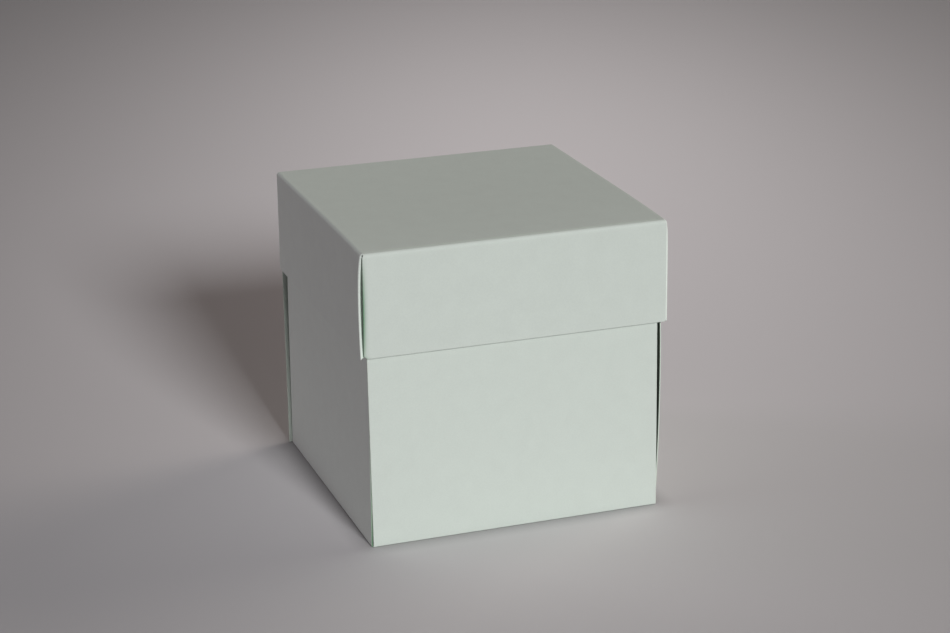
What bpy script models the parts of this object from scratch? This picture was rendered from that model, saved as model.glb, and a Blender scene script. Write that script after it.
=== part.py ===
"""An explosion box of pale mint card: three nested crosses and a lift-off lid.

Each cross is one sheet of card: a square base with four walls that fold outwards at scored creases.
The crosses are taped to each other by their bases. The lid is one sheet too, folded into a shallow
tray: its left and right sides carry glue tabs that are wrapped round the corners and taped behind the
front and back sides. The box stands on z = 0 with its middle on the Z axis and its front towards -Y.
"""

import math

import bmesh
import bpy
from mathutils import Vector

MM = 0.001

# Card and tape
CARD = 0.4 * MM
TAPE = 0.1 * MM
SEAT_GAP = 0.05 * MM  # left between flat pieces that lie on each other

# The crosses
BOX_SIDE = 100.0 * MM  # across the outer walls, from face to face
BOX_HEIGHT = 100.3 * MM  # from the table to the top of the outer walls
LAYERS = ("outer", "middle", "inner")
LAYER_GAP = 2.1 * MM  # between the walls of one cross and those of the next
WALL_DROP = 2.0 * MM  # each cross's walls end this much lower than those round it
CREASE_GAP = 0.05 * MM  # between a base and the rounded foot of a wall
SIDE_GAP = 0.1 * MM  # the left and right walls stop this far short of the front and back ones
BASE_TAPE_WIDTH = 12.0 * MM
BASE_TAPE_INSET = 6.0 * MM  # from the base's edges to the strips

# The lid
LID_DEPTH = 35.5 * MM
LID_CLEARANCE = 1.4 * MM  # between the outer walls and the lid's sides, on each side
LID_SHIFT = 0.4 * MM  # it hangs loose, and sits this far to the right
LID_SEAT_GAP = 0.1 * MM  # between its top panel and the edges of the outer walls
LID_SETBACK = 0.3 * MM  # the front and back sides stop this far short of the corners
LID_TRIM = 1.0 * MM  # their lower corners are cut off by this
TAB_LENGTH = 14.0 * MM
TAB_TAPER = 3.0 * MM  # a tab's free end is narrower by this at the top and at the bottom
TAB_TOP_GAP = 0.5 * MM  # between a tab and the top panel
TAB_FOOT_GAP = 0.5 * MM  # a tab ends this far above the sides' lower edge
TAB_FOLD_INSIDE = 0.2 * MM  # inner radius of the soft fold where a tab turns the corner
TAB_TAPE_MARGIN = 2.0 * MM  # from a tab's edges to its strip of tape
LEFT_SPRING = 1.25 * MM  # the left side's front end stands out this far, as its soft fold springs
RIGHT_SPRING = 0.75 * MM  # and the right side's
SPRING_BEND = 5  # how soon below the crease the sides reach that, as a power
SPRING_ROWS = 8
SPRING_COLUMNS = 6

# Roundings
FOLD_SHARE = 0.75  # outer radius of the lid's sharp creases, as a share of the card
FOOT_ARC_STEPS = 6
FOLD_ARC_STEPS = 3
COS_45 = math.cos(math.pi / 4)
SHARP_ANGLE = math.radians(40)  # sharper edges than this stay crisp in the shading

# Places that follow from the sizes above
FOLD_RADIUS = FOLD_SHARE * CARD
LAYER_STEP = CARD + LAYER_GAP
LAYER_RISE = CARD + TAPE + 2 * SEAT_GAP
LID_SIDE = BOX_SIDE + 2 * (LID_CLEARANCE + CARD)
LID_TOP = BOX_HEIGHT + LID_SEAT_GAP + CARD
TAB_DEPTH = CARD + TAPE + 2 * SEAT_GAP  # from a front or back side's face to the tab's
TAB_FOLD_OUTER = TAB_FOLD_INSIDE + CARD

# Colours of the finishes, in linear light, with their roughness
CARD_FINISH = ((0.6, 0.675, 0.61), 0.85)
TAPE_FINISH = ((0.80, 0.78, 0.70), 0.55)

SIDES = {"front": 0.0, "right": math.pi / 2, "back": math.pi, "left": -math.pi / 2}
COVERING_SIDES = ("front", "back")  # their walls run past the ends of the other two
CORNERS = {
    "front_left": (-1, -1),
    "front_right": (1, -1),
    "back_left": (-1, 1),
    "back_right": (1, 1),
}


def clear_scene():
    for old in list(bpy.data.objects):
        bpy.data.objects.remove(old)


def make_material(name, finish):
    colour, roughness = finish
    material = bpy.data.materials.new(name)
    material.use_nodes = True
    shader = material.node_tree.nodes["Principled BSDF"]
    shader.inputs["Base Color"].default_value = (*colour, 1.0)
    shader.inputs["Roughness"].default_value = roughness
    shader.inputs["Metallic"].default_value = 0.0
    return material


def add_object(name, mesh, finish, parent, place=(0.0, 0.0, 0.0)):
    """An object for this mesh, with a material of its own even where the mesh is shared."""
    made = bpy.data.objects.new(name, mesh)
    made.location = place
    made.parent = parent
    bpy.context.scene.collection.objects.link(made)
    if not mesh.materials:
        mesh.materials.append(None)
    slot = made.material_slots[0]
    slot.link = "OBJECT"
    slot.material = make_material(name, finish)
    return made


def add_empty(name, place=(0.0, 0.0, 0.0)):
    made = bpy.data.objects.new(name, None)
    made.location = place
    bpy.context.scene.collection.objects.link(made)
    return made


def mesh_from(name, shape):
    bmesh.ops.recalc_face_normals(shape, faces=shape.faces)
    mesh = bpy.data.meshes.new(name)
    shape.to_mesh(mesh)
    shape.free()
    mesh.shade_smooth()
    mesh.set_sharp_from_angle(angle=SHARP_ANGLE)
    return mesh


def extrude_outline(shape, outline, travel):
    """A prism in shape: the closed outline, swept by travel. Returns its vertices, in two halves."""
    start = [shape.verts.new(point) for point in outline]
    face = shape.faces.new(start)
    swept = bmesh.ops.extrude_face_region(shape, geom=[face])["geom"]
    moved = [item for item in swept if isinstance(item, bmesh.types.BMVert)]
    bmesh.ops.translate(shape, vec=travel, verts=moved)
    return start + moved


def add_plate(shape, low, high):
    """A rectangular plate in shape, between two corners."""
    outline = [
        (low[0], low[1], low[2]),
        (high[0], low[1], low[2]),
        (high[0], high[1], low[2]),
        (low[0], high[1], low[2]),
    ]
    return extrude_outline(shape, outline, (0.0, 0.0, high[2] - low[2]))


def plate_mesh(name, size_x, size_y, thickness):
    shape = bmesh.new()
    add_plate(shape, (-size_x / 2, -size_y / 2, 0.0), (size_x / 2, size_y / 2, thickness))
    return mesh_from(name, shape)


# The crosses


def layer_side(level):
    return BOX_SIDE - 2 * level * LAYER_STEP


def layer_floor(level):
    return level * LAYER_RISE


def wall_profile(reach):
    """Points of a wall seen from its end, as (y, z) from the crease: a rounded foot, then straight up."""
    radius = CARD / 2
    arc = []
    for step in range(FOOT_ARC_STEPS + 1):
        angle = math.pi + math.pi * step / FOOT_ARC_STEPS
        arc.append((radius * math.cos(angle), radius * math.sin(angle)))
    return arc + [(radius, reach), (-radius, reach)]


def wall_mesh(name, half_width, reach):
    """A wall round its crease axis, which is the X axis of the mesh. Its outer face looks to -Y."""
    shape = bmesh.new()
    outline = [(-half_width, y, z) for y, z in wall_profile(reach)]
    extrude_outline(shape, outline, (2 * half_width, 0.0, 0.0))
    return mesh_from(name, shape)


def add_cross(level, box):
    """One sheet: its base, and four walls whose origins lie on their creases.

    The front and back walls run on past the ends of the left and right ones, out to the corners.
    """
    layer = LAYERS[level]
    side = layer_side(level)
    floor = layer_floor(level)
    base_side = side - 2 * (CARD + CREASE_GAP)
    base = plate_mesh(f"{layer}_base", base_side, base_side, CARD)
    add_object(f"{layer}_base", base, CARD_FINISH, box, (0.0, 0.0, floor))

    crease = floor + CARD / 2
    top = BOX_HEIGHT - level * WALL_DROP
    wide = wall_mesh(f"{layer}_wide_wall", side / 2, top - crease)
    narrow = wall_mesh(f"{layer}_narrow_wall", side / 2 - CARD - SIDE_GAP, top - crease)
    out = side / 2 - CARD / 2
    for where, turn in SIDES.items():
        wall = wide if where in COVERING_SIDES else narrow
        place = (out * math.sin(turn), -out * math.cos(turn), crease)
        made = add_object(f"{layer}_wall_{where}", wall, CARD_FINISH, box, place)
        made.rotation_euler.z = turn


def add_base_tape(level, box):
    """Two strips under this cross's base, along its front and back edges."""
    layer = LAYERS[level]
    base_side = layer_side(level) - 2 * (CARD + CREASE_GAP)
    length = base_side - 2 * BASE_TAPE_INSET
    out = base_side / 2 - BASE_TAPE_INSET - BASE_TAPE_WIDTH / 2
    under = layer_floor(level) - SEAT_GAP - TAPE
    strip = plate_mesh(f"{layer}_base_tape", length, BASE_TAPE_WIDTH, TAPE)
    for where, way in (("front", -1), ("back", 1)):
        place = (0.0, way * out, under)
        add_object(f"{layer}_base_tape_{where}", strip, TAPE_FINISH, box, place)


# The lid, in its own frame: the middle of its top panel's upper face is at the origin


def faces_where(shape, wanted):
    """The faces whose normal and middle pass a test."""
    shape.normal_update()
    return [face for face in shape.faces if wanted(face.normal, face.calc_center_median())]


def with_rims(faces):
    """These faces with their edges and vertices, as the mesh operators want them."""
    geometry = set(faces)
    for face in faces:
        geometry.update(face.edges, face.verts)
    return list(geometry)


def split_faces(shape, faces, places, normal):
    """Splits these faces along parallel planes through the given places."""
    pieces = faces
    for place in places:
        cut = bmesh.ops.bisect_plane(
            shape, geom=with_rims(pieces), plane_co=place, plane_no=normal
        )
        pieces = [item for item in cut["geom"] if isinstance(item, bmesh.types.BMFace)]
    return pieces


def extrude_faces(shape, faces, travel):
    """Pulls faces out of the solid by travel, and returns the vertices at their new place."""
    swept = bmesh.ops.extrude_face_region(shape, geom=with_rims(faces))["geom"]
    moved = [item for item in swept if isinstance(item, bmesh.types.BMVert)]
    bmesh.ops.translate(shape, vec=travel, verts=moved)
    return moved


def fold_down_sides(shape):
    """Pulls the four sides down from the rim of the top panel's underside."""
    half = LID_SIDE / 2
    inside = half - CARD
    front_reach = half - LID_SETBACK
    side_reach = half - TAB_DEPTH - TAB_FOLD_OUTER
    under = faces_where(shape, lambda normal, middle: normal.z < -COS_45)
    across = [(0.0, way * cut, 0.0) for cut in (side_reach, inside) for way in (-1, 1)]
    strips = split_faces(shape, under, across, (0, 1, 0))
    at_ends = [face for face in strips if abs(face.calc_center_median().y) > inside]
    between = [face for face in strips if abs(face.calc_center_median().y) < side_reach]
    for faces, reach in ((at_ends, front_reach), (between, inside)):
        split_faces(shape, faces, [(-reach, 0.0, 0.0), (reach, 0.0, 0.0)], (1, 0, 0))

    def in_rim(normal, middle):
        x, y = abs(middle.x), abs(middle.y)
        in_front_or_back = y > inside and x < front_reach
        in_left_or_right = x > inside and y < side_reach
        return normal.z < -COS_45 and (in_front_or_back or in_left_or_right)

    extrude_faces(shape, faces_where(shape, in_rim), (0.0, 0.0, CARD - LID_DEPTH))


def trim_lower_corners(shape):
    """Cuts off the lower corners of the front and back sides."""
    half = LID_SIDE / 2
    corners = []
    for edge in shape.edges:
        middle = (edge.verts[0].co + edge.verts[1].co) / 2
        along = edge.verts[1].co - edge.verts[0].co
        at_end = abs(middle.x) > half - LID_SETBACK - LID_TRIM and abs(along.y) > CARD / 2
        if at_end and abs(middle.y) > half - CARD and middle.z < LID_TRIM - LID_DEPTH:
            corners.append(edge)
    bmesh.ops.bevel(
        shape, geom=corners, offset=LID_TRIM, segments=1, profile=0.5, affect="EDGES"
    )


def fold_tabs(shape):
    """Turns a tab round each corner out of the end of a side, and draws it out to its slanted end."""
    half = LID_SIDE / 2
    side_reach = half - TAB_DEPTH - TAB_FOLD_OUTER
    low, high = tab_edges(TAB_FOLD_OUTER)
    for way_x, way_y in CORNERS.values():
        ends = faces_where(
            shape,
            lambda normal, middle: normal.y * way_y > COS_45
            and middle.x * way_x > half - CARD
            and middle.y * way_y < half - TAB_DEPTH
            and middle.z < -CARD,
        )
        pieces = split_faces(shape, ends, [(0.0, 0.0, low), (0.0, 0.0, high)], (0, 0, 1))
        joined = [face for face in pieces if low < face.calc_center_median().z < high]
        turned = bmesh.ops.spin(
            shape,
            geom=with_rims(joined),
            cent=(way_x * (half - TAB_FOLD_OUTER), way_y * side_reach, 0.0),
            axis=(0, 0, 1),
            angle=way_x * way_y * math.pi / 2,
            steps=FOLD_ARC_STEPS,
        )["geom_last"]
        last = [item for item in turned if isinstance(item, bmesh.types.BMFace)]
        for vert in extrude_faces(shape, last, (way_x * (TAB_FOLD_OUTER - TAB_LENGTH), 0.0, 0.0)):
            vert.co.z += TAB_TAPER if vert.co.z < (low + high) / 2 else -TAB_TAPER


def spring_sides(shape):
    """Lets the front ends of the left and right sides stand out, where their soft folds spring."""
    half = LID_SIDE / 2
    depth = LID_DEPTH - CARD
    behind_front = -half + (CARD + TAB_DEPTH) / 2
    rows = [(0.0, 0.0, -CARD - depth * row / SPRING_ROWS) for row in range(1, SPRING_ROWS)]
    columns = [
        (0.0, half * (2 * column / SPRING_COLUMNS - 1), 0.0)
        for column in range(1, SPRING_COLUMNS)
    ]
    for way in (-1, 1):
        sides = faces_where(
            shape,
            lambda normal, middle: middle.x * way > half - TAB_LENGTH
            and middle.y > behind_front
            and middle.z < -CARD,
        )
        split_faces(shape, split_faces(shape, sides, rows, (0, 0, 1)), columns, (0, 1, 0))

    for vert in shape.verts:
        sunk = (-CARD - vert.co.z) / depth
        reach = (abs(vert.co.x) - (half - TAB_LENGTH)) / (TAB_LENGTH - CARD)
        if vert.co.y > behind_front and sunk > 0 and reach > 0:
            way, spring = (1, RIGHT_SPRING) if vert.co.x > 0 else (-1, LEFT_SPRING)
            forward = (half - vert.co.y) / LID_SIDE
            drop = 1 - (1 - min(sunk, 1)) ** SPRING_BEND
            vert.co.x += way * spring * drop * min(reach, 1) * forward**2


def tab_edges(along):
    """The lowest and highest point of a tab at this distance from the lid's corner."""
    slant = TAB_TAPER * (along - TAB_FOLD_OUTER) / (TAB_LENGTH - TAB_FOLD_OUTER)
    return -LID_DEPTH + TAB_FOOT_GAP + slant, -CARD - TAB_TOP_GAP - slant


def lid_mesh():
    half = LID_SIDE / 2
    shape = bmesh.new()
    add_plate(shape, (-half, -half, -CARD), (half, half, 0.0))
    upper = [edge for edge in shape.edges if all(vert.co.z == 0.0 for vert in edge.verts)]
    bmesh.ops.bevel(
        shape,
        geom=upper,
        offset=FOLD_RADIUS,
        segments=FOLD_ARC_STEPS,
        profile=0.5,
        affect="EDGES",
    )
    fold_down_sides(shape)
    trim_lower_corners(shape)
    fold_tabs(shape)
    spring_sides(shape)
    return mesh_from("lid", shape)


def at_corner(way, along, inward, height):
    """A point given from a corner of the lid: along its front or back side, then inward from it."""
    half = LID_SIDE / 2
    return Vector((way[0] * (half - along), way[1] * (half - inward), height))


def add_lid_tape(lid_frame):
    """A strip on each tab, between it and the inner face of the front or back side."""
    start = LID_SETBACK + TAB_TAPE_MARGIN
    end = TAB_LENGTH - TAB_TAPE_MARGIN
    lowest, highest = tab_edges(end)
    low = lowest + TAB_TAPE_MARGIN
    high = highest - TAB_TAPE_MARGIN
    face = CARD + SEAT_GAP
    for corner, way in CORNERS.items():
        shape = bmesh.new()
        plan = [(start, face), (end, face), (end, face + TAPE), (start, face + TAPE)]
        outline = [at_corner(way, along, inward, low) for along, inward in plan]
        extrude_outline(shape, outline, (0.0, 0.0, high - low))
        name = f"lid_tape_{corner}"
        add_object(name, mesh_from(name, shape), TAPE_FINISH, lid_frame)


def main():
    clear_scene()
    box = add_empty("box_frame")
    for level in range(len(LAYERS)):
        add_cross(level, box)
        if level > 0:
            add_base_tape(level, box)
    lid_frame = add_empty("lid_frame", (LID_SHIFT, 0.0, LID_TOP))
    add_object("lid", lid_mesh(), CARD_FINISH, lid_frame)
    add_lid_tape(lid_frame)


main()
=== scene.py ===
"""The looks of an explosion box of pale mint card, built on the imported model.

Every panel, the folded lid and the strips of tape are remodelled as thin sheets with cut edges,
creases and the slight leans that show in the photograph. Lengths are in metres, written in mm.
"""

import math

import bmesh
import bpy
from mathutils import Matrix, Vector, noise


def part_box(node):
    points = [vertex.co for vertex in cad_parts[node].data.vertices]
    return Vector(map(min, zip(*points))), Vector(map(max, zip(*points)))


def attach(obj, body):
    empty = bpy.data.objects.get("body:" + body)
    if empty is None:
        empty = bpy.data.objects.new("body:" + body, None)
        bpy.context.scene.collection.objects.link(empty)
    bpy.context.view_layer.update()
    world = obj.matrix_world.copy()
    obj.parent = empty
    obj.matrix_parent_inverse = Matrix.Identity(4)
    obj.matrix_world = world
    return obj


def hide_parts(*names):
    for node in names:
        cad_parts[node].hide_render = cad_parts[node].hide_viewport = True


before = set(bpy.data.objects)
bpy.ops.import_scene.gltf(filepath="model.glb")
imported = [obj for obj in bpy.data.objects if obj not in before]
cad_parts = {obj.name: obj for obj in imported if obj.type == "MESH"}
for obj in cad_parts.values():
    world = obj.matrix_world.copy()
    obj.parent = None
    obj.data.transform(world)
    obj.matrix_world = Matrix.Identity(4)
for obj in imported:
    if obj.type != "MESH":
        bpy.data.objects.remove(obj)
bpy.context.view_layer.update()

MM = 0.001

# The camera of the photograph, in the object's frame
CAMERA_AZIMUTH = math.radians(-19.018)  # seen from the left of the front
CAMERA_ELEVATION = math.radians(18.735)
CAMERA_ROLL = math.radians(-0.790)
CAMERA_DISTANCE = 811.1 * MM
CAMERA_TARGET = Vector((3.28, -1.03, 57.24)) * MM
CAMERA_LENS = 89.75  # its focal length, on a sensor of this width
CAMERA_SENSOR = 36.0

# Light: a strong lamp in front, a weaker one on the right and a faint, low one at the back left.
# Each is given by azimuth (from -Y towards +X) and elevation in degrees, distance, size, level on a
# surface that faces it, half-angle of its pool of light in degrees, and colour.
LAMPS = {
    "front": (4, 24, 8.0, 2.0, 0.83, 25, (1.0, 0.97, 1.0)),
    "left": (240, 6, 5.0, 2.0, 0.235, 30, (1.0, 0.83, 0.96)),
    "right": (104, 28, 5.0, 3.0, 0.27, 30, (1.0, 0.86, 0.78)),
}
LAMP_AIM = Vector((0.0, 0.0, 50 * MM))
LEVEL_POWER = 4 * math.pi**2  # of a lamp that lights a white surface 1 m away at level 1
ROOM_COLOUR = (1.0, 0.88, 0.92)
ROOM_LIGHT = 0.02
BACKDROP_COLOUR = (0.78, 0.755, 0.74)

# The floor, with a painted pool of light and a painted contact shadow
FLOOR_COLOUR = (0.965, 0.965, 0.96)
FLOOR_ROUGHNESS = 0.95
FLOOR_GLOSS = 0.1
FLOOR_SIZE = 12.0
FLOOR_PAINTED_POOL_MIDDLE = (0.03, 0.40)  # the painted pool of light is palest here, across and along the photograph's view
FLOOR_PAINTED_POOL_REACH = (0.26, 0.66)  # and about half as pale this far away from there
FLOOR_PAINTED_POOL_REST = 0.1  # the share of the pale shade that is left far away
CONTACT_SHADOW_PAINT_REACH = 7.5 * MM  # a contact shadow is painted on the floor this close to whatever stands on it
CONTACT_SHADOW_PAINT_POWER = 0.6  # the power of this painted contact shadow
CONTACT_SHADOW_PAINT_SAMPLES = 8

# Card, in linear colour
CARD_COLOUR = (0.6, 0.675, 0.61)
LID_COLOUR = (0.59, 0.662, 0.60)
PAINTED_SLIT_SHADE_COLOUR = (0.005, 0.17, 0.035)  # painted shade: the dark green deep in the slits, for the light between the sheets
CUT_COLOUR = (0.59, 0.68, 0.59)
CARD_GLOSS = 0.3
CARD_ROUGHNESS = (0.82, 0.92)  # from the dents to the tops of its tooth
CARD = 0.4 * MM
CUT_ROUND = 0.05 * MM
WALL_WEAR_REACH = 0.9 * MM  # the paleness of a crease fades this far up the wall
LID_WEAR_REACH = 1.2 * MM  # and this far over the lid
# paleness of worn creases; on the lid's upright folds it is mostly a painted highlight
WEAR_AND_HIGHLIGHT_PALENESS = 0.018
SHARP_ANGLE = math.radians(32)  # sharper edges than this stay crisp in the shading

# The card's surface: each pattern's scale per mm, its detail and its distortion
CLOUDS = (0.16, 3, 0.4)
GRAIN = (2.1, 3, 0.6)
FIBRES = (0.9, 5, 2.2)
NOISE_RANGE = (0.3, 0.7)  # between which nearly all of a pattern's values lie
NOISE_MIDDLE = 0.5
CLOUD_TINT = 0.012  # clouds and grain make the card lighter and darker by this
GRAIN_TINT = 0.022
FIBRE_TINT = 0.012  # and fibres make it lighter
FIBRE_WIDTH = 0.03  # of the pale fibres, in the pattern's values
FIBRE_HEIGHT = 0.8  # how far they stand out, with the grain's height as 1
TOOTH_DEPTH = 0.03 * MM
FACE_TOOTH = 0.35  # strength of the tooth on the faces and on the cut edges
CUT_TOOTH = 0.8

# Tape, in the same terms
TAPE_COLOUR = (0.80, 0.78, 0.70)
TAPE_ROUND = 0.02 * MM
TAPE_COAT = 0.3
TAPE_ROUGHNESS = (0.4, 0.62)
TISSUE = (1.2, 4, 3.0)
TISSUE_TINT = (0.94, 1.04)
DENTS = (0.35, 2)
DENT_DEPTH = 0.02 * MM
DENT_STRENGTH = 0.3

# Material slots of every piece
CARD_FACE = 0
CUT_EDGE = 1
PAINTED_SLIT_SHADE_SLOT = 2  # on the lid alone: painted slit shade on the tabs

# Grids: the finest and the coarsest step, as shares of half the panel, and the growth between them
RISE_STEPS = (0.008, 0.09, 1.6)
WIDTH_STEPS = (0.01, 0.09, 1.6)
PLATE_STEPS = (0.012, 0.12, 1.7)
LID_STEPS = (0.007, 0.13, 1.6)
FOLD_STEPS = 8
TAB_STEPS = 8
TAB_STEP_GROWTH = 1.5  # the power by which a tab's steps widen away from its fold
LID_ROWS = (1.35, 1.8, 2.5, 3.7, 5.4, 7.6, 10.4, 13.8, 17.4, 21, 24.6, 28, 30.8, 33)  # depths in mm
WELD_GRID = 1e7  # steps per metre: points of the lid that round to the same step are one

# The foot of a wall: its outer face turns under by this much, and its inner corner is taken off
FOOT_TURN = math.radians(80)
FOOT_CORNER = 0.6  # as a share of half the card, below the crease
RIPPLE = 0.05 * MM  # how far the walls ripple, and over what length
RIPPLE_LENGTH = 38 * MM

# The lid. Left and right ends are meant as seen from outside, on its front and back sides.
LID_SHIFT = 0.4 * MM
LID_FOLD = 1.1 * MM  # outer radius of its creases
END_SETBACKS = ((0.43, 0.1), (0.3, 0.2))  # of the left and right ends, at the top and foot, in mm
CORNER_TRIMS = (1.1 * MM, 0.35 * MM)  # lower corners cut off, left and right
TAB_LENGTH = 14.0 * MM
TAB_TAPER = 3.0 * MM
TAB_FOOT_GAP = 0.5 * MM
TAB_DEPTH = 0.6 * MM  # from the outer face of the front or back side to the tab's
TAB_FOLD = 0.65 * MM
TAB_RUB_AND_HIGHLIGHT = 0.15 * MM  # the rubbed paleness and painted highlight of a fold run this far on to its tab
TOP_SAG = 0.25 * MM
FRONT_DROOP = 0.6 * MM  # its front edge hangs lower by this
DROOP_POWER = 3  # how quickly the top starts to droop near that edge
FRONT_SHORT = 0.25 * MM  # its front side reaches less far down by this
FRONT_LEAN = 0.35 * MM  # how far the front side's lower left corner leans in
CUT_BEVEL_ANGLE = math.radians(50)  # edges sharper than this are cut edges

# The front ends of the lid's left and right sides spring out on their soft folds. A bend is the
# power that says how soon below the crease they do so.
LEFT_SPRING = 0.65 * MM  # the front left fold stands out this far just below the crease
LEFT_BEND = 8
RIGHT_BEND = 14
LEFT_FLARE = 0.18 * MM  # and this much further at its foot
FLARE_BEND = 3
SPRING_SPREAD = 2  # the power by which the spring fades from the front end to the back
LEFT_TUCK = 1.65 * MM  # about half-way down, it bends in behind the front side
TUCK_SKEW = 0.94  # below 1, it bends in most a little above half-way down
TUCK_FULLNESS = 0.8  # below 1, the bend is fuller than a plain wave
TUCK_REACH = 6.0 * MM  # along the side and the tab
TUCK_FADE = 2

# The painted shade of the slit beside the front left fold
SLIT_END_PAINTED_SHADE = 0.85  # how much of the slit's painted green shade shows on the front side's left end
PAINTED_SHADE_WAVE = 0.85  # how much of a half wave that tone runs through, from the top to the foot
PAINTED_SHADE_FADE = 1.4 * MM  # how far it spreads from there
PAINTED_SHADE_FALL = 1.5  # the power of its fading
RUB_END_PAINTED_SHADE = 0.5  # how much painted green shade shows where the fold's rubbed paleness and painted highlight end
FOLD_WEAR_AND_HIGHLIGHT = 18.0  # the lid's upright folds are this many times as pale as its creases: some wear, mostly painted highlight

LAYERS = ("outer", "middle", "inner")
SIDES = {"front": 0.0, "right": math.pi / 2, "back": math.pi, "left": -math.pi / 2}


def even_bow(left, right):
    """The pulls of a wall that bends out of its crease and then stands straight."""
    return [(2 * lean / 3, lean, lean) for lean in (left, right)]


# How the walls bow outwards, in mm, at the two ends of each wall as seen from outside. The three
# pulls draw a curve: low on the wall, half-way up and at its top. The walls of one side bow alike,
# so that they lie flat on each other when they have fallen open.
WALL_BOWS = {
    "outer": {
        "front": ((-0.1, -0.25, -0.25), (0.1, 0.1, 0.0)),
        "right": ((2.1, 2.05, -0.1), (0.5, 0.6, 0.55)),
        "back": ((0.2, 0.3, 0.3), (0.3, 1.6, 1.3)),
        "left": ((-0.6, 0.1, -1.9), (-0.6, -0.1, -0.1)),
    },
    "middle": {
        "front": even_bow(-0.25, 0.1),
        "right": even_bow(0.3, 0.1),
        "back": even_bow(0.2, 0.3),
        "left": ((-0.7, 0.0, -1.9), (-0.6, -0.1, -0.2)),
    },
    "inner": {
        "front": even_bow(-0.15, -0.1),
        "right": even_bow(0.2, 0.2),
        "back": even_bow(0.3, 0.2),
        "left": ((-0.7, -0.1, -1.8), (-0.5, -0.2, -0.2)),
    },
}
# How far a wall's left and right ends are cut short, in mm, at the foot and at the top. An end
# with a number below zero runs on by as much.
WALL_CUTS = {
    "outer_front": ((0.58, -0.05), (-0.06, 0.4)),
    "outer_left": ((0.05, 0.7), (0.1, 0.15)),
    "outer_right": ((0.05, 0.1), (0.05, 0.1)),
    "outer_back": ((0.05, 0.1), (-1.0, -0.6)),
}
STRAIGHT_CUTS = ((0.05, 0.1), (0.0, 0.1))

# How strongly the painted green shade of the slits shows: on the left wall's front cut edge, most
# at its foot, and on the right wall's inner face next to the slit at its front
FOOT_PAINTED_SHADE = 0.8
FOOT_PAINTED_SHADE_REACH = 40.0 * MM
INNER_PAINTED_SHADE = 0.5
INNER_PAINTED_SHADE_REACH = 4.0 * MM


def graded_shares(fine, coarse, growth):
    """Places from -1 to 1, close together at both ends and wider apart in the middle."""
    steps = []
    step = fine
    while sum(steps) + step < 1.0 and step < coarse:
        steps.append(step)
        step *= growth
    left = 1.0 - sum(steps)
    count = max(1, round(left / coarse))
    steps += [left / count] * count
    half = [0.0]
    for step in steps:
        half.append(half[-1] + step)
    half[-1] = 1.0
    return [share - 1.0 for share in half] + [1.0 - share for share in reversed(half[:-1])]


def even_shares(count):
    """Places from 0 to 1, this many steps apart."""
    return [step / count for step in range(count + 1)]


def mix(a, b, share):
    return a + (b - a) * share


def side_frame(turn, out, crease):
    """The frame of a side: X along it, -Y outwards, Z up, with its origin on its crease."""
    place = Vector((out * math.sin(turn), -out * math.cos(turn), crease))
    return Matrix.Translation(place) @ Matrix.Rotation(turn, 4, "Z")


def link(made):
    bpy.context.scene.collection.objects.link(made)
    return made


def add_piece(name, mesh, materials, body, nodes):
    for material in materials:
        mesh.materials.append(material)
    piece = link(bpy.data.objects.new(name, mesh))
    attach(piece, body)
    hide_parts(*nodes)
    return piece


def finish_mesh(name, shape):
    bmesh.ops.recalc_face_normals(shape, faces=shape.faces)
    mesh = bpy.data.meshes.new(name)
    shape.to_mesh(mesh)
    shape.free()
    mesh.shade_smooth()
    mesh.set_sharp_from_angle(angle=SHARP_ANGLE)
    return mesh


# Walls


def pulled(pulls, share):
    """The bow at this share of the height, on the curve that three pulls draw."""
    low, middle, top = pulls
    rest = 1 - share
    return 3 * rest * rest * share * low + 3 * rest * share * share * middle + share**3 * top


def wall_levels(reach, half):
    """A wall's section from its top edge to its foot: (y, z) of its outer and of its inner face."""
    levels = [((CUT_ROUND - half, reach), (half - CUT_ROUND, reach))]
    for share in reversed(graded_shares(*RISE_STEPS)):
        z = mix(half, reach - CUT_ROUND, (share + 1) / 2)
        levels.append(((-half, z), (half, z)))
    for share in even_shares(FOLD_STEPS)[1:]:
        angle = FOOT_TURN * share
        outer = (half - 2 * half * math.cos(angle), half - 2 * half * math.sin(angle))
        levels.append((outer, (half, mix(half, -FOOT_CORNER * half, share))))
    return levels


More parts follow.
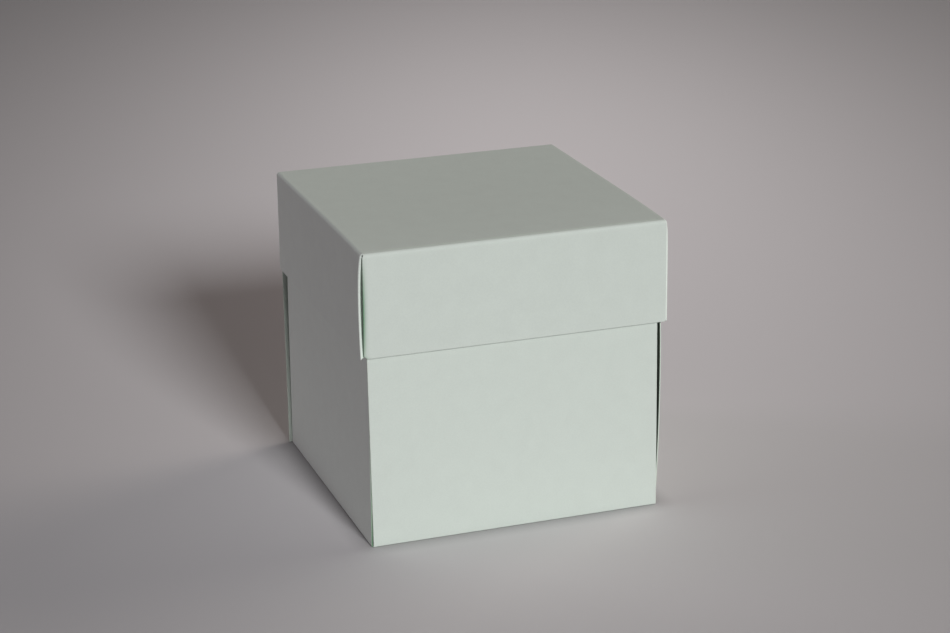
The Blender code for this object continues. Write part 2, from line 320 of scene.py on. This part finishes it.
def wall_mesh(name, turn, low, high, bows, cuts, painted_green_shade):
    """One wall panel as a sheet: flat faces, cut sides and top, and a rounded foot at its crease.

    The last argument gives the painted green shade of the slits for a place on the wall: how far
    it is from the left and right ends, whether it is on the inner face or on a cut end, and its
    height.
    """
    along_x = abs(math.cos(turn)) > abs(math.sin(turn))
    size = high - low
    middle = (low + high) / 2
    half_width = (size.x if along_x else size.y) / 2
    half_thick = (size.y if along_x else size.x) / 2
    out = abs(middle.y if along_x else middle.x)
    reach = size.z - half_thick
    frame_of_side = side_frame(turn, out, low.z + half_thick)

    def displaced(share, y, h):
        """A point of the flat wall, moved by its cuts, its bow and its ripple."""
        rise = min(1.0, max(0.0, h / reach))
        ends = [way * (half_width - mix(*cut, rise) * MM) for way, cut in zip((-1, 1), cuts)]
        u = mix(*ends, (share + 1) / 2)
        bow = mix(pulled(bows[0], rise), pulled(bows[1], rise), (share + 1) / 2) * MM
        wave = noise.noise(frame_of_side @ Vector((u, y, h)) / RIPPLE_LENGTH)
        return frame_of_side @ Vector((u, y - bow - RIPPLE * rise * wave, h))

    shape = bmesh.new()
    wear_and_highlight = shape.verts.layers.float.new("wear_and_highlight")
    painted_slit_shade = shape.verts.layers.float.new("painted_slit_shade")

    def column_at(share):
        """Pairs of vertices, outer and inner, from the top to the foot."""
        at_end = abs(share) == 1
        spread = 1 - CUT_ROUND / half_thick if at_end else 1
        from_ends = [half_width * (1 + share), half_width * (1 - share)]
        column = []
        for level in wall_levels(reach, half_thick):
            pair = [shape.verts.new(displaced(share, y * spread, h)) for y, h in level]
            for vert, (y, h) in zip(pair, level):
                height = max(0.0, h)
                vert[wear_and_highlight] = max(0.0, 1 - height / WALL_WEAR_REACH)
                vert[painted_slit_shade] = painted_green_shade(*from_ends, vert is pair[1], at_end, height)
            column.append(pair)
        return column

    def quad(corners, cut):
        shape.faces.new(corners).material_index = CUT_EDGE if cut else CARD_FACE

    inner_end = 1 - CUT_ROUND / half_width
    shares = [share * inner_end for share in graded_shares(*WIDTH_STEPS)]
    grid = [column_at(share) for share in [-1] + shares + [1]]
    last = len(grid[0]) - 1
    for index, (one, two) in enumerate(zip(grid, grid[1:])):
        at_end = index in (0, len(grid) - 2)
        for level in range(last):
            pairs = (one[level], two[level], two[level + 1], one[level + 1])
            for side in (0, 1):
                quad([pair[side] for pair in pairs], at_end or level == 0)
        quad((*one[0], *reversed(two[0])), True)
        quad((*one[last], *reversed(two[last])), False)
    for column in (grid[0], grid[-1]):
        for upper, lower in zip(column, column[1:]):
            quad((*upper, *reversed(lower)), True)
    return finish_mesh(name, shape)


def no_painted_shade(from_left, from_right, inner, cut_end, height):
    """Most walls show none."""
    return 0.0


def left_painted_shade(from_left, from_right, inner, cut_end, height):
    """The left wall's front end is its right one, seen from outside."""
    if not cut_end or from_right:
        return 0.0
    return FOOT_PAINTED_SHADE * max(0.0, 1 - height / FOOT_PAINTED_SHADE_REACH)


def right_painted_shade(from_left, from_right, inner, cut_end, height):
    """The right wall's front end is its left one, seen from outside."""
    if cut_end or not inner:
        return 0.0
    return INNER_PAINTED_SHADE * max(0.0, 1 - from_left / INNER_PAINTED_SHADE_REACH)


# Walls with painted green shade beside their slits
WALL_PAINTED_SHADES = {"outer_left": left_painted_shade, "outer_right": right_painted_shade}


def add_walls(materials):
    for layer in LAYERS:
        for where, turn in SIDES.items():
            node = f"{layer}_wall_{where}"
            name = f"{layer}_{where}_panel"
            cuts = WALL_CUTS.get(f"{layer}_{where}", STRAIGHT_CUTS)
            painted_green_shade = WALL_PAINTED_SHADES.get(f"{layer}_{where}", no_painted_shade)
            mesh = wall_mesh(name, turn, *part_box(node), WALL_BOWS[layer][where], cuts, painted_green_shade)
            add_piece(name, mesh, materials, f"{layer}_{where}", [node])


# Bases and other flat plates


def plate_mesh(name, low, high, rounding):
    """A flat plate with softened edges, cut into a grid. Its four sides are cut edges."""
    shape = bmesh.new()
    wear_and_highlight = shape.verts.layers.float.new("wear_and_highlight")
    shares = graded_shares(*PLATE_STEPS)
    thickness = high.z - low.z
    levels = [(0.0, rounding), (rounding, 0.0)]
    levels += [(thickness - rounding, 0.0), (thickness, rounding)]
    middle = (low + high) / 2
    half = (high - low) / 2

    def point(x_share, y_share, height, inset):
        return Vector((
            middle.x + x_share * (half.x - inset),
            middle.y + y_share * (half.y - inset),
            low.z + height,
        ))

    border = [(s, -1.0) for s in shares[:-1]] + [(1.0, s) for s in shares[:-1]]
    border += [(-s, 1.0) for s in shares[:-1]] + [(-1.0, -s) for s in shares[:-1]]
    rings = []
    for height, inset in levels:
        rings.append([shape.verts.new(point(x, y, height, inset)) for x, y in border])
    for ring in rings:
        for vert in ring:
            vert[wear_and_highlight] = 1.0
    for lower, upper in zip(rings, rings[1:]):
        for index in range(len(border)):
            after = (index + 1) % len(border)
            face = shape.faces.new((lower[index], lower[after], upper[after], upper[index]))
            face.material_index = CUT_EDGE
    for ring, (height, inset) in ((rings[0], levels[0]), (rings[-1], levels[-1])):
        known = dict(zip(border, ring))
        grid = []
        for y in shares:
            row = []
            for x in shares:
                vert = known.get((x, y))
                row.append(vert or shape.verts.new(point(x, y, height, inset)))
            grid.append(row)
        for one, two in zip(grid, grid[1:]):
            for index in range(len(shares) - 1):
                shape.faces.new((one[index], one[index + 1], two[index + 1], two[index]))
    return finish_mesh(name, shape)


def add_floors(materials):
    for layer in LAYERS:
        node = f"{layer}_base"
        name = f"{layer}_floor_panel"
        mesh = plate_mesh(name, *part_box(node), CUT_ROUND)
        add_piece(name, mesh, materials, "bases", [node])


# Lid


class Sheet:
    """A surface made of patches that share their points."""

    def __init__(self, settle):
        self.settle = settle
        self.shape = bmesh.new()
        self.wear_and_highlight = self.shape.verts.layers.float.new("wear_and_highlight")
        self.painted_slit_shade = self.shape.verts.layers.float.new("painted_slit_shade")
        self.points = {}

    def vert(self, point, wear_and_highlight, painted_slit_shade=0.0):
        point = self.settle(point)
        key = tuple(round(value * WELD_GRID) for value in point)
        if key not in self.points:
            vert = self.shape.verts.new(point)
            vert[self.wear_and_highlight] = wear_and_highlight
            vert[self.painted_slit_shade] = painted_slit_shade
            self.points[key] = vert
        return self.points[key]

    def patch(self, rows, material=CARD_FACE):
        """Joins rows of (point, paleness[, painted slit shade]) into quads, or triangles at a tip.
        """
        grid = [[self.vert(*item) for item in row] for row in rows]
        for one, two in zip(grid, grid[1:]):
            for index in range(len(one) - 1):
                around = (one[index], one[index + 1], two[index + 1], two[index])
                corners = list(dict.fromkeys(around))
                if len(corners) > 2:
                    self.shape.faces.new(corners).material_index = material


def front_lean(x, sunk, half):
    """How far the front side leans in here, given how far down it this is."""
    return FRONT_LEAN * (1 - (x / half + 1) / 2) * sunk


def worn(distance):
    """The paleness this far from a crease of the lid."""
    return max(0.0, 1 - distance / LID_WEAR_REACH)


class LidForm:
    """The outer surface of the lid, folded from one sheet, with its top at z = 0."""

    def __init__(self, half, depth, right_spring):
        self.half = half
        self.depth = depth
        self.right_spring = right_spring
        self.flat = half - LID_FOLD  # from the middle to where a crease starts
        self.side_reach = half - TAB_DEPTH - TAB_FOLD  # and to where a tab's fold starts
        self.shares = graded_shares(*LID_STEPS)
        self.lows = [row * MM for row in LID_ROWS] + [depth]
        self.sheet = Sheet(self.settle)
        self.add_top()
        for way in (-1, 1):
            self.add_front_or_back(way)
        for way in (-1, 1):
            self.add_left_or_right(way)

    def sunk(self, z):
        """How far down the sides this is, from 0 at the top to 1 at the lower edge."""
        return min(1.0, max(0.0, -z / self.depth))

    def settle(self, point):
        """Lets the top droop towards its front edge. The lower edge stays where it is."""
        droop = FRONT_DROOP * max(0.0, -point.y / self.half) ** DROOP_POWER
        return point - Vector((0, 0, droop * (1 - self.sunk(point.z))))

    def spring(self, x, y, z):
        """How far the front ends of the left and right sides stand out."""
        rest = 1 - self.sunk(z)
        forward = min(1.0, (self.half - y) / (2 * self.half))
        if x > 0:
            return self.right_spring * (1 - rest**RIGHT_BEND) * forward**SPRING_SPREAD
        out = LEFT_SPRING * (1 - rest**LEFT_BEND) + LEFT_FLARE * (1 - rest) ** FLARE_BEND
        return out * forward**SPRING_SPREAD

    def tuck(self, place):
        """How far the front left fold bends in behind the front side, fading away from the fold."""
        away = max(0.0, place.y + self.side_reach)
        away += max(0.0, self.half - TAB_FOLD - abs(place.x))
        fade = max(0.0, 1 - away / TUCK_REACH) ** TUCK_FADE
        bend = math.sin(math.pi * self.sunk(place.z) ** TUCK_SKEW) ** TUCK_FULLNESS
        return LEFT_TUCK * bend * fade

    def sprung(self, place):
        """Moves a point of the left or right side, or of a tab, by its spring and its tuck."""
        along = self.half - abs(place.x)
        reach = min(1.0, (TAB_LENGTH - along) / (TAB_LENGTH - CARD))
        tucked = self.tuck(place) if place.x < 0 and place.y < 0 else 0.0
        place.x += (1 if place.x > 0 else -1) * self.spring(*place) * reach
        place.y += tucked
        return place

    def painted_slit_shade_tone(self, inward, low):
        """The painted green shade on the front side's left end, this far in from it and this far
        down.
        """
        deep = math.sin(PAINTED_SHADE_WAVE * math.pi * self.sunk(-low))
        return SLIT_END_PAINTED_SHADE * deep * max(0.0, 1 - inward / PAINTED_SHADE_FADE) ** PAINTED_SHADE_FALL

    def ends_at(self, low):
        """How far the front or back side reaches to its left and right at this depth."""
        reaches = []
        for setback, trim in zip(END_SETBACKS, CORNER_TRIMS):
            reach = self.half - mix(*setback, self.sunk(-low)) * MM
            reaches.append(reach - max(0.0, low - (self.depth - trim)))
        return reaches

    def crease_rows(self, ends, displaced):
        """From the top panel over the crease, down to where the flat side starts."""
        rows = []
        for share in even_shares(FOLD_STEPS):
            angle = math.pi / 2 * share
            y = -self.flat - LID_FOLD * math.sin(angle)
            z = -LID_FOLD * (1 - math.cos(angle))
            left, right = [mix(self.flat, end, share) for end in ends]
            row = [Vector((mix(-left, right, (s + 1) / 2), y, z)) for s in self.shares]
            rows.append([(displaced(point), 1.0) for point in row])
        return rows

    def add_top(self):
        """The top panel, which sags a little in its middle."""
        rows = []
        for y in self.shares:
            row = []
            for x in self.shares:
                sag = TOP_SAG * (1 - x**2) * (1 - y**2)
                from_edge = (1 - max(abs(x), abs(y))) * self.flat
                row.append((Vector((x * self.flat, y * self.flat, -sag)), worn(from_edge)))
            rows.append(row)
        self.sheet.patch(rows)

    def add_front_or_back(self, way):
        """The front side, where way is -1, or the back side."""
        turned = Matrix.Rotation(0 if way < 0 else math.pi, 4, "Z")

        def displaced(point):
            place = turned @ point
            if way < 0:
                place.y += front_lean(place.x, self.sunk(place.z), self.half)
                place.z *= 1 - FRONT_SHORT / self.depth
            return place

        rows = self.crease_rows(self.ends_at(LID_FOLD), displaced)
        for low in self.lows[:-1] + [self.depth - trim for trim in CORNER_TRIMS] + [self.depth]:
            left, right = self.ends_at(low)
            paleness = worn(low - LID_FOLD)
            row = []
            for share in self.shares:
                point = Vector((mix(-left, right, (share + 1) / 2), -self.half, -low))
                painted_green_shade = self.painted_slit_shade_tone(point.x + left, low) if way < 0 else 0.0
                row.append((displaced(point), paleness, painted_green_shade))
            rows.append(row)
        self.sheet.patch(rows)

    def add_left_or_right(self, way):
        """The left side, where way is -1, or the right side, each with a tab at both ends."""
        turned = Matrix.Rotation(way * math.pi / 2, 4, "Z")

        def displaced(point):
            return self.sprung(turned @ point)

        rows = self.crease_rows((self.side_reach, self.side_reach), displaced)
        for low in self.lows:
            row = [Vector((s * self.side_reach, -self.half, -low)) for s in self.shares]
            rows.append([(displaced(point), worn(low - LID_FOLD)) for point in row])
        self.sheet.patch(rows)
        for end in (-1, 1):
            self.add_tab(displaced, end)

    def add_tab(self, displaced, end):
        """The fold round a corner, its tip under the top crease, and the tab itself."""
        fold_end = end * (self.side_reach + TAB_FOLD)
        full_foot = self.depth - TAB_FOOT_GAP
        start = self.lows[0]

        def leaned(point, z, weight):
            """The point in its place, leaning with the front side where it lies behind it."""
            place = displaced(point)
            if place.y < 0:
                place.y += weight * front_lean(place.x, self.sunk(z), self.half)
            return place

        def tab_point(u, y, low, foot, slant, weight):
            """A point of the fold or tab. Its edges slant, and its foot is cut a little short."""
            share = max(0.0, low - start) / (self.depth - start)
            z = -mix(start + slant, foot - slant, share) if share else -(low + slant)
            return leaned(Vector((u, y, z)), z, weight)

        def fold_column(share):
            """This far round the fold, from the top to the foot."""
            angle = math.pi / 2 * share
            u = end * (self.side_reach + TAB_FOLD * math.sin(angle))
            y = TAB_FOLD * (1 - math.cos(angle)) - self.half
            foot = self.depth - TAB_FOOT_GAP * share**2
            # A painted highlight on the fold, over its crease wear.
            wear_and_highlight = FOLD_WEAR_AND_HIGHLIGHT * math.sin(angle)
            return [(tab_point(u, y, low, foot, 0.0, share), wear_and_highlight) for low in (LID_FOLD, *self.lows)]

        def tip_point(share, grown):
            """This far round the fold, where it grows out of the top crease."""
            angle = math.pi / 2 * share
            turn = math.pi / 2 * grown
            reach = mix(self.flat, self.side_reach, grown) + TAB_FOLD * math.sin(angle * grown)
            out = -self.flat - LID_FOLD * math.sin(turn)
            out += TAB_FOLD * (1 - math.cos(angle * grown))
            point = Vector((end * reach, out, -LID_FOLD * (1 - math.cos(turn))))
            # A painted highlight where the fold grows out of the crease.
            wear_and_highlight = FOLD_WEAR_AND_HIGHLIGHT * math.sin(angle)
            return leaned(point, point.z, share), max(1.0, wear_and_highlight * grown)

        def rub_and_highlight_end_column():
            """Where the fold's rubbed paleness and painted highlight end on the tab, and painted
            slit shade starts.
            """
            y = TAB_FOLD + TAB_RUB_AND_HIGHLIGHT - self.half
            column = []
            for low in (LID_FOLD, *self.lows):
                point = tab_point(fold_end, y, low, full_foot, 0.0, 1.0)
                column.append((point, FOLD_WEAR_AND_HIGHLIGHT, RUB_END_PAINTED_SHADE))
            return column

        def tab_column(share):
            """This far along the tab, from its upper to its lower edge."""
            y = mix(TAB_FOLD, TAB_LENGTH, share) - self.half
            slant = TAB_TAPER * share
            return [(tab_point(fold_end, y, low, full_foot, slant, 1.0), 0.0) for low in self.lows]

        steps = even_shares(FOLD_STEPS)
        self.sheet.patch([[tip_point(share, grown) for share in steps] for grown in steps])
        fold = [fold_column(share) for share in steps] + [rub_and_highlight_end_column()]
        self.sheet.patch(fold)
        stations = [share**TAB_STEP_GROWTH for share in even_shares(TAB_STEPS)[1:]]
        tab = [fold[-1][1:]] + [tab_column(share) for share in stations]
        # The tab's outward faces, seen only through the slits, are painted dark green as shade.
        self.sheet.patch(tab, material=PAINTED_SLIT_SHADE_SLOT)


def thicken(name, shape, thickness):
    """Gives an open sheet its thickness on the inner side, with narrow bevels on its cut edges."""
    bmesh.ops.recalc_face_normals(shape, faces=shape.faces)
    shape.normal_update()
    if sum(face.normal.z * face.calc_area() for face in shape.faces) < 0:
        bmesh.ops.reverse_faces(shape, faces=shape.faces)
    mesh = bpy.data.meshes.new(name + "_surface")
    shape.to_mesh(mesh)
    shape.free()
    for slot in (CARD_FACE, CUT_EDGE, PAINTED_SLIT_SHADE_SLOT):
        mesh.materials.append(None)
    work = link(bpy.data.objects.new(name + "_work", mesh))
    solidify = work.modifiers.new("thickness", "SOLIDIFY")
    solidify.thickness = thickness
    solidify.offset = -1.0
    solidify.use_even_offset = True
    solidify.use_quality_normals = True
    solidify.material_offset_rim = CUT_EDGE
    bevel = work.modifiers.new("cut_edges", "BEVEL")
    bevel.width = CUT_ROUND
    bevel.segments = 1
    bevel.limit_method = "ANGLE"
    bevel.angle_limit = CUT_BEVEL_ANGLE
    bevel.use_clamp_overlap = False
    bevel.material = CUT_EDGE
    evaluated = work.evaluated_get(bpy.context.evaluated_depsgraph_get())
    final = bpy.data.meshes.new_from_object(evaluated)
    final.name = name
    bpy.data.objects.remove(work)
    bpy.data.meshes.remove(mesh)
    final.materials.clear()
    # Only the tabs' faces that look outwards keep the painted slit shade.
    for face in final.polygons:
        if face.material_index > CUT_EDGE and not looks_outwards(face):
            face.material_index = CARD_FACE
    final.shade_smooth()
    final.set_sharp_from_angle(angle=SHARP_ANGLE)
    return final


def looks_outwards(face):
    """Whether a face of a tab looks mostly to the front or to the back, away from the box."""
    outside = face.normal.y * face.center.y > 0
    return outside and abs(face.normal.y) > math.cos(math.pi / 3)


def add_lid(materials):
    low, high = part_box("lid")
    half = high.y
    shape = LidForm(half, high.z - low.z, high.x - LID_SHIFT - half).sheet.shape
    bmesh.ops.translate(shape, verts=shape.verts, vec=(LID_SHIFT, 0.0, high.z))
    mesh = thicken("lid_tray", shape, CARD)
    for vert in mesh.vertices:
        vert.co.z = min(high.z, max(low.z, vert.co.z))
    add_piece("lid_tray", mesh, materials, "lid", ["lid"])


# Tape


def add_tapes(material, nodes):
    """The strips of tape. Those behind the lid's front side lean in with it."""
    lid_low, lid_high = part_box("lid")
    for node in nodes:
        if "tape" not in node:
            continue
        name = node.replace("tape", "strip")
        mesh = plate_mesh(name, *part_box(node), TAPE_ROUND)
        if node.startswith("lid_tape_front"):
            for vert in mesh.vertices:
                sunk = (lid_high.z - vert.co.z) / (lid_high.z - lid_low.z)
                vert.co.y += front_lean(vert.co.x - LID_SHIFT, sunk, lid_high.y)
        body = "lid" if node.startswith("lid") else "bases"
        add_piece(name, mesh, [material, material], body, [node])


# Materials


class Tree:
    """The shader nodes of a material or of the world, with short ways to add and link them."""

    def __init__(self, owner):
        owner.use_nodes = True
        self.nodes = owner.node_tree.nodes
        self.link = owner.node_tree.links.new

    def add(self, kind, **settings):
        made = self.nodes.new(kind)
        for key, value in settings.items():
            setattr(made, key, value)
        return made

    def noise(self, vector, scale, detail, distortion=0.0):
        made = self.add("ShaderNodeTexNoise")
        made.inputs["Scale"].default_value = scale
        made.inputs["Detail"].default_value = detail
        made.inputs["Distortion"].default_value = distortion
        self.link(vector, made.inputs["Vector"])
        return made.outputs["Fac"]

    def remap(self, value, source, target):
        """Stretches one range of a value over another."""
        made = self.add("ShaderNodeMapRange")
        for key, number in zip(("From Min", "From Max", "To Min", "To Max"), (*source, *target)):
            made.inputs[key].default_value = number
        self.link(value, made.inputs["Value"])
        return made.outputs["Result"]

    def maths(self, operation, one, two):
        made = self.add("ShaderNodeMath", operation=operation)
        for socket, value in zip(made.inputs, (one, two)):
            if isinstance(value, (int, float)):
                socket.default_value = value
            else:
                self.link(value, socket)
        return made.outputs["Value"]

    def attribute(self, name):
        return self.add("ShaderNodeAttribute", attribute_name=name).outputs["Fac"]

    def scaled(self, colour, shade):
        """A colour, or a socket that gives one, made lighter or darker by a shade."""
        made = self.add("ShaderNodeVectorMath", operation="SCALE")
        if isinstance(colour, tuple):
            made.inputs[0].default_value = colour
        else:
            self.link(colour, made.inputs[0])
        self.link(shade, made.inputs["Scale"])
        return made.outputs["Vector"]

    def millimetres(self):
        """Object coordinates, counted in millimetres."""
        place = self.add("ShaderNodeTexCoord")
        mapping = self.add("ShaderNodeMapping")
        mapping.inputs["Scale"].default_value = (1 / MM, 1 / MM, 1 / MM)
        self.link(place.outputs["Object"], mapping.inputs["Vector"])
        return mapping.outputs["Vector"]

    def bump(self, height, strength, distance, shader):
        made = self.add("ShaderNodeBump")
        made.inputs["Strength"].default_value = strength
        made.inputs["Distance"].default_value = distance
        self.link(height, made.inputs["Height"])
        self.link(made.outputs["Normal"], shader.inputs["Normal"])


def card_material(name, colour, tooth, gloss=CARD_GLOSS):
    """Uncoated card: fine tooth, pulp clouds, pale creases, painted fold highlights, painted slit
    shade.
    """
    material = bpy.data.materials.new(name)
    tree = Tree(material)
    shader = tree.nodes["Principled BSDF"]
    shader.inputs["Specular IOR Level"].default_value = gloss
    place = tree.millimetres()
    clouds = tree.noise(place, *CLOUDS)
    grain = tree.noise(place, *GRAIN)
    fibres = tree.noise(place, *FIBRES)
    ridge = tree.maths("ABSOLUTE", tree.maths("SUBTRACT", fibres, NOISE_MIDDLE), 0.0)

    shade = tree.maths("ADD", tree.remap(clouds, NOISE_RANGE, (-CLOUD_TINT, CLOUD_TINT)), 1.0)
    shade = tree.maths("ADD", shade, tree.remap(grain, NOISE_RANGE, (-GRAIN_TINT, GRAIN_TINT)))
    shade = tree.maths("ADD", shade, tree.remap(ridge, (0.0, FIBRE_WIDTH), (FIBRE_TINT, 0.0)))
    # Paleness of worn creases, and a painted highlight on the lid's folds.
    rubbed_and_highlight = tree.maths("MULTIPLY", tree.attribute("wear_and_highlight"), WEAR_AND_HIGHLIGHT_PALENESS)
    shade = tree.maths("ADD", shade, rubbed_and_highlight)
    # Painted shade: dark green mixed in where the slits are.
    painted_slit_shade_mix = tree.add("ShaderNodeMixRGB")
    painted_slit_shade_mix.inputs["Color1"].default_value = (*colour, 1.0)
    painted_slit_shade_mix.inputs["Color2"].default_value = (*PAINTED_SLIT_SHADE_COLOUR, 1.0)
    tree.link(tree.attribute("painted_slit_shade"), painted_slit_shade_mix.inputs["Fac"])
    tree.link(tree.scaled(painted_slit_shade_mix.outputs["Color"], shade), shader.inputs["Base Color"])
    tree.link(tree.remap(grain, NOISE_RANGE, CARD_ROUGHNESS), shader.inputs["Roughness"])

    height = tree.maths("ADD", grain, tree.maths("MULTIPLY", ridge, -FIBRE_HEIGHT))
    tree.bump(height, tooth, TOOTH_DEPTH, shader)
    return material


def tape_material():
    """Double-sided tape: a yellowish, slightly glossy film over a thin fibrous carrier."""
    material = bpy.data.materials.new("tape")
    tree = Tree(material)
    shader = tree.nodes["Principled BSDF"]
    shader.inputs["Coat Weight"].default_value = TAPE_COAT
    place = tree.millimetres()
    tissue = tree.noise(place, *TISSUE)
    dents = tree.noise(place, *DENTS)
    shade = tree.remap(tissue, NOISE_RANGE, TISSUE_TINT)
    tree.link(tree.scaled(TAPE_COLOUR, shade), shader.inputs["Base Color"])
    tree.link(tree.remap(dents, NOISE_RANGE, TAPE_ROUGHNESS), shader.inputs["Roughness"])
    tree.bump(dents, DENT_STRENGTH, DENT_DEPTH, shader)
    return material


# Stage


def floor_material():
    """Pale, with a painted pool of light round the box and a painted contact shadow under it."""
    material = bpy.data.materials.new("floor")
    tree = Tree(material)
    shader = tree.nodes["Principled BSDF"]
    shader.inputs["Roughness"].default_value = FLOOR_ROUGHNESS
    shader.inputs["Specular IOR Level"].default_value = FLOOR_GLOSS
    centred = tree.add("ShaderNodeMapping", vector_type="TEXTURE")
    middle = Matrix.Rotation(CAMERA_AZIMUTH, 3, "Z") @ Vector((*FLOOR_PAINTED_POOL_MIDDLE, 0))
    centred.inputs["Rotation"].default_value = (0, 0, CAMERA_AZIMUTH)
    centred.inputs["Location"].default_value = middle
    centred.inputs["Scale"].default_value = (*FLOOR_PAINTED_POOL_REACH, 1)
    tree.link(tree.add("ShaderNodeTexCoord").outputs["Object"], centred.inputs["Vector"])
    square = tree.add("ShaderNodeVectorMath", operation="DOT_PRODUCT")
    for socket in square.inputs[:2]:
        tree.link(centred.outputs["Vector"], socket)
    # A painted pool of light, palest round its middle.
    fall = tree.maths("ADD", 1.0, square.outputs["Value"])
    pool = tree.maths("ADD", tree.maths("DIVIDE", 1.0 - FLOOR_PAINTED_POOL_REST, fall), FLOOR_PAINTED_POOL_REST)
    # A painted contact shadow, from ambient occlusion.
    painted_contact_occlusion = tree.add("ShaderNodeAmbientOcclusion", samples=CONTACT_SHADOW_PAINT_SAMPLES)
    painted_contact_occlusion.inputs["Distance"].default_value = CONTACT_SHADOW_PAINT_REACH
    painted_contact_shadow = tree.maths("POWER", painted_contact_occlusion.outputs["AO"], CONTACT_SHADOW_PAINT_POWER)
    shade = tree.maths("MULTIPLY", pool, painted_contact_shadow)
    tree.link(tree.scaled(FLOOR_COLOUR, shade), shader.inputs["Base Color"])
    return material


def add_floor():
    mesh = bpy.data.meshes.new("floor")
    half = FLOOR_SIZE / 2
    corners = [(-half, -half, 0), (half, -half, 0), (half, half, 0), (-half, half, 0)]
    mesh.from_pydata(corners, [], [(0, 1, 2, 3)])
    mesh.materials.append(floor_material())
    floor = link(bpy.data.objects.new("floor", mesh))


def direction(azimuth, elevation):
    """A unit vector towards this place in the sky. Azimuth is counted from -Y towards +X."""
    level = math.cos(elevation)
    return Vector((math.sin(azimuth) * level, -math.cos(azimuth) * level, math.sin(elevation)))


def add_lights():
    for name, (azimuth, elevation, distance, size, level, pool, colour) in LAMPS.items():
        towards = direction(math.radians(azimuth), math.radians(elevation))
        light = bpy.data.lights.new(name, "SPOT")
        light.shadow_soft_size = size / 2
        light.spot_size = math.radians(2 * pool)
        light.spot_blend = 1.0
        light.energy = level * LEVEL_POWER * distance**2
        light.color = colour
        lamp = link(bpy.data.objects.new(name, light))
        lamp.location = LAMP_AIM + towards * distance
        lamp.rotation_euler = towards.to_track_quat("Z", "Y").to_euler()


def add_room():
    """The camera, gloss and glass see a light backdrop, and much less light comes from it."""
    world = bpy.data.worlds.new("room")
    tree = Tree(world)
    lit = tree.nodes["Background"]
    lit.inputs["Color"].default_value = (*ROOM_COLOUR, 1.0)
    lit.inputs["Strength"].default_value = ROOM_LIGHT
    seen = tree.add("ShaderNodeBackground")
    seen.inputs["Color"].default_value = (*BACKDROP_COLOUR, 1.0)
    path = tree.add("ShaderNodeLightPath").outputs
    mirrored = tree.maths("MAXIMUM", path["Is Camera Ray"], path["Is Glossy Ray"])
    direct = tree.maths("MAXIMUM", mirrored, path["Is Transmission Ray"])
    choice = tree.add("ShaderNodeMixShader")
    tree.link(direct, choice.inputs["Fac"])
    tree.link(lit.outputs["Background"], choice.inputs[1])
    tree.link(seen.outputs["Background"], choice.inputs[2])
    tree.link(choice.outputs["Shader"], tree.nodes["World Output"].inputs["Surface"])
    bpy.context.scene.world = world


def add_camera():
    lens = bpy.data.cameras.new("camera")
    lens.sensor_width = CAMERA_SENSOR
    lens.lens = CAMERA_LENS
    back = direction(CAMERA_AZIMUTH, CAMERA_ELEVATION)
    turn = back.to_track_quat("Z", "Y").to_matrix() @ Matrix.Rotation(CAMERA_ROLL, 3, "Z")
    place = Matrix.Translation(CAMERA_TARGET + back * CAMERA_DISTANCE)
    camera = link(bpy.data.objects.new("camera", lens))
    camera.matrix_world = place @ turn.to_4x4()
    bpy.context.scene.camera = camera


card = card_material("card", CARD_COLOUR, FACE_TOOTH)
cut_card = card_material("card_cut_edge", CUT_COLOUR, CUT_TOOTH)
add_walls([card, cut_card])
add_floors([card, cut_card])
lid_card = card_material("lid_card", LID_COLOUR, FACE_TOOTH)
# A dark green card that is painted shade, for the tabs' faces seen in the slits.
card_painted_slit_shade = card_material("lid_card_painted_slit_shade", PAINTED_SLIT_SHADE_COLOUR, FACE_TOOTH, gloss=0.0)
add_lid([lid_card, cut_card, card_painted_slit_shade])
add_tapes(tape_material(), sorted(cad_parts))

add_camera()
add_lights()
add_room()
add_floor()
bpy.context.scene.view_settings.view_transform = "Standard"
